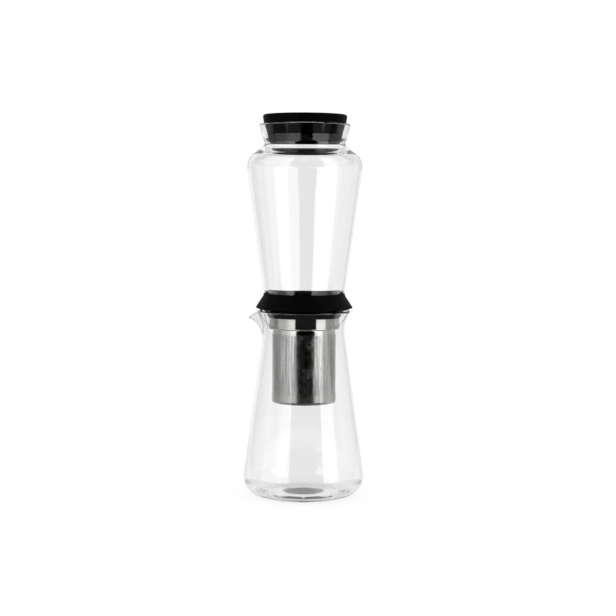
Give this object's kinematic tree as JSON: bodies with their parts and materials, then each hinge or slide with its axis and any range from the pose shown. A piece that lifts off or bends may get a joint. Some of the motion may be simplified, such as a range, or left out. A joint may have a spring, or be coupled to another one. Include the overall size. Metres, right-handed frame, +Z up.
{
  "type": "cold brew coffee maker",
  "caption": "Free-standing slow-drip cold brew coffee maker: glass water vessel with lid and drip valve, black collar, steel strainer and glass decanter with a spout.",
  "frame": {"origin": "centre of the decanter's foot, on the surface it stands on", "axes": "+Z up along the axis of the stack; the pouring spout points along -X"},
  "size_m": [0.12, 0.12, 0.38],
  "materials": {
    "clear_glass": "clear borosilicate glass, fire-polished rims",
    "black_plastic": "fine matt moulded polypropylene",
    "black_silicone": "soft satin silicone",
    "clear_silicone": "translucent satin silicone",
    "polished_steel": "mirror-polished stainless steel",
    "steel_mesh": "fine bright stainless steel mesh"
  },
  "bodies": {
    "decanter_body": {"decanter": "clear_glass"},
    "collar_body": {"collar": "black_plastic", "vessel_seat_gasket": "black_silicone", "strainer_gasket": "black_silicone"},
    "strainer_body": {"strainer_rim_band": "polished_steel", "strainer_wall": "steel_mesh", "strainer_base_ring": "polished_steel", "strainer_mesh_disc": "steel_mesh", "shower_plate": "polished_steel"},
    "vessel_body": {"water_vessel": "clear_glass", "outlet_grommet": "clear_silicone"},
    "valve": {"valve_body": "black_plastic", "valve_orifice": "polished_steel", "valve_screen": "steel_mesh"},
    "lid": {"lid_cap": "black_plastic", "lid_stopper": "black_silicone"}
  },
  "joints": [
    {"name": "collar_lift", "type": "slide", "parent": "decanter_body", "child": "collar_body", "axis": [0, 0, 1], "range_m": [0, 0.1]},
    {"name": "strainer_pull", "type": "slide", "parent": "collar_body", "child": "strainer_body", "axis": [0, 0, -1], "range_m": [0, 0.02]},
    {"name": "vessel_lift", "type": "slide", "parent": "collar_body", "child": "vessel_body", "axis": [0, 0, 1], "range_m": [0, 0.06]},
    {"name": "lid_lift", "type": "slide", "parent": "vessel_body", "child": "lid", "axis": [0, 0, 1], "range_m": [0, 0.04]},
    {"name": "valve_pull", "type": "slide", "parent": "vessel_body", "child": "valve", "axis": [0, 0, 1], "range_m": [0, 0.02]}
  ]
}
